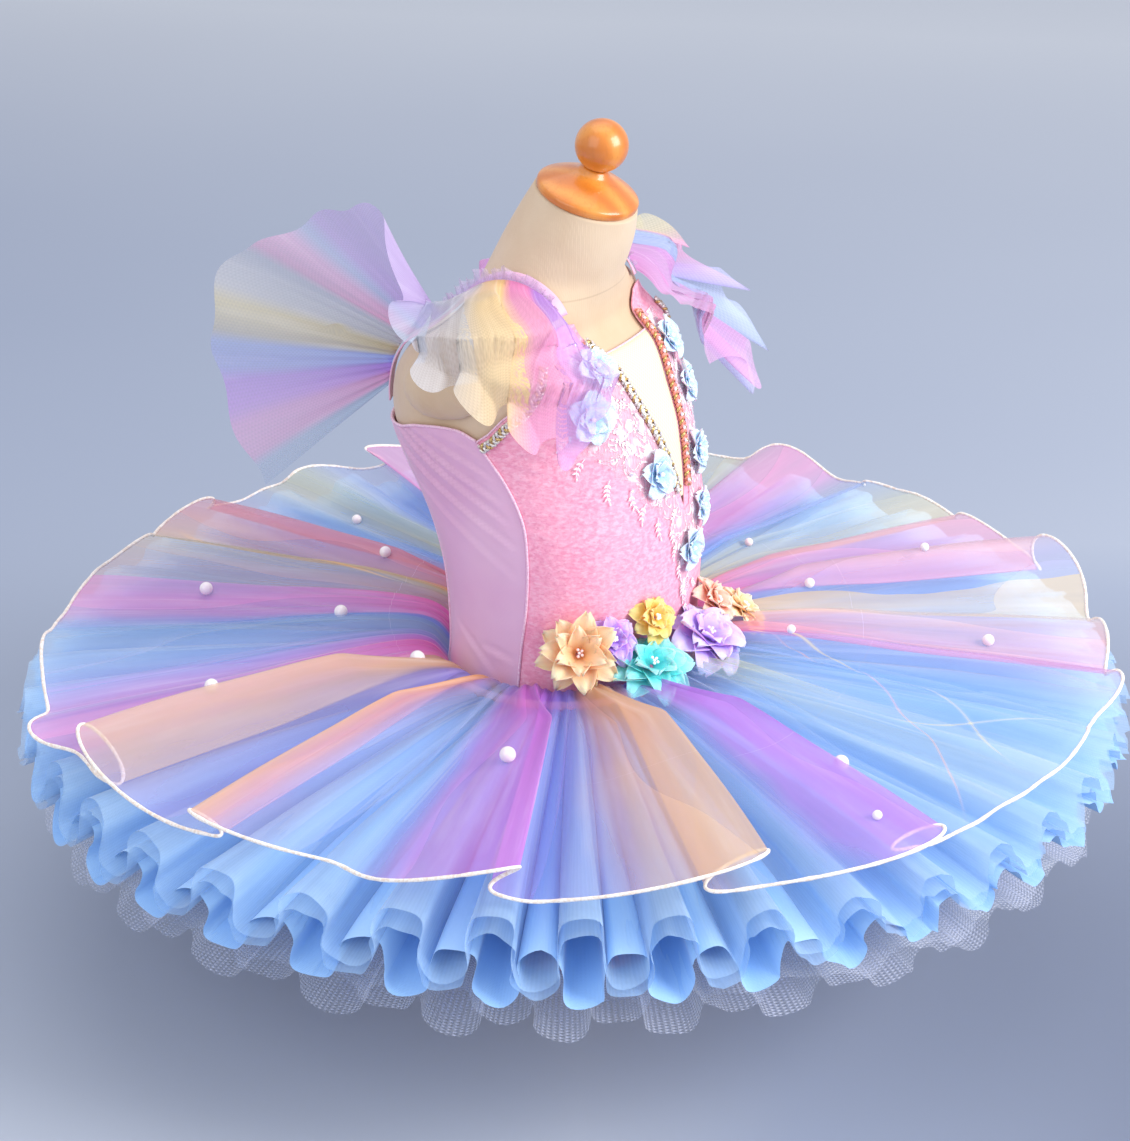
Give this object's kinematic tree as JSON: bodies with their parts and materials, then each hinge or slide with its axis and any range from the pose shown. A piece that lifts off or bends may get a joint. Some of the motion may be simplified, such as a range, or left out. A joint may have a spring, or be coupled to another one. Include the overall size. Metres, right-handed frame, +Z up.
{
  "type": "child's tutu dress on a dress form",
  "caption": "Sleeveless child's tutu dress with a wide layered tulle skirt, gathered shoulder ruffles and a flower belt, worn on a limbless dress form with a flat base.",
  "frame": {"origin": "centre of the wooden base's flat underside", "axes": "+Z up, -Y to the front of the dress, +X to the wearer's left"},
  "size_m": [0.7529, 0.7513, 0.5734],
  "materials": {
    "linen": "matt woven cotton jersey stretched over the form",
    "wood": "turned wood under clear gloss varnish",
    "pink_velvet": "crushed stretch velvet with a soft sheen",
    "lilac_lycra": "smooth stretch lycra with a satin sheen",
    "cream_mesh": "fine matt stretch net",
    "silver_braid": "zigzag braid of silver and gold thread",
    "coral_braid": "woven band with coral sequins",
    "organza": "sheer crisp organza, dyed in soft rainbow stripes",
    "blue_tulle": "soft gathered tulle",
    "pale_net": "stiff dress net",
    "rainbow_tulle": "soft gathered tulle in rainbow stripes",
    "pale_blue_flower": "matt chiffon petals",
    "petal_peach": "matt satin petals",
    "petal_purple": "matt satin petals",
    "petal_turquoise": "matt satin petals",
    "petal_yellow": "matt satin petals",
    "petal_lilac": "matt satin petals",
    "petal_coral": "matt satin petals",
    "petal_apricot": "matt satin petals",
    "pearl": "pearly gloss bead",
    "hem_cord": "rolled hem over nylon line, satin thread",
    "lace": "white cord lace",
    "piping": "flat pale seam stitch"
  },
  "bodies": {
    "root": {"form_base": "wood", "form_torso": "linen", "form_neck_cap": "wood", "form_neck_ball": "wood", "form_arm_plate_right": "linen", "form_arm_plate_left": "linen", "bodice_front": "pink_velvet", "bodice_side_right": "lilac_lycra", "bodice_side_left": "lilac_lycra", "bodice_back": "lilac_lycra", "neck_insert": "cream_mesh", "neck_braid_right": "silver_braid", "neck_braid_left": "coral_braid", "armhole_braid_right": "silver_braid", "armhole_braid_left": "silver_braid", "strap_right": "lilac_lycra", "strap_left": "lilac_lycra", "ruffle_right": "rainbow_tulle", "ruffle_left": "rainbow_tulle", "skirt_overlay": "organza", "skirt_tulle": "blue_tulle", "skirt_net": "pale_net", "belt_flower_peach": "petal_peach", "belt_flower_purple_small": "petal_purple", "belt_flower_turquoise": "petal_turquoise", "belt_flower_yellow": "petal_yellow", "belt_flower_lilac": "petal_lilac", "belt_flower_coral": "petal_coral", "belt_flower_apricot": "petal_apricot", "neck_flower_1": "pale_blue_flower", "neck_flower_2": "pale_blue_flower", "neck_flower_3": "pale_blue_flower", "neck_flower_4": "pale_blue_flower", "neck_flower_5": "pale_blue_flower", "neck_flower_6": "pale_blue_flower", "neck_flower_7": "pale_blue_flower", "neck_flower_8": "pale_blue_flower"}
  },
  "joints": []
}
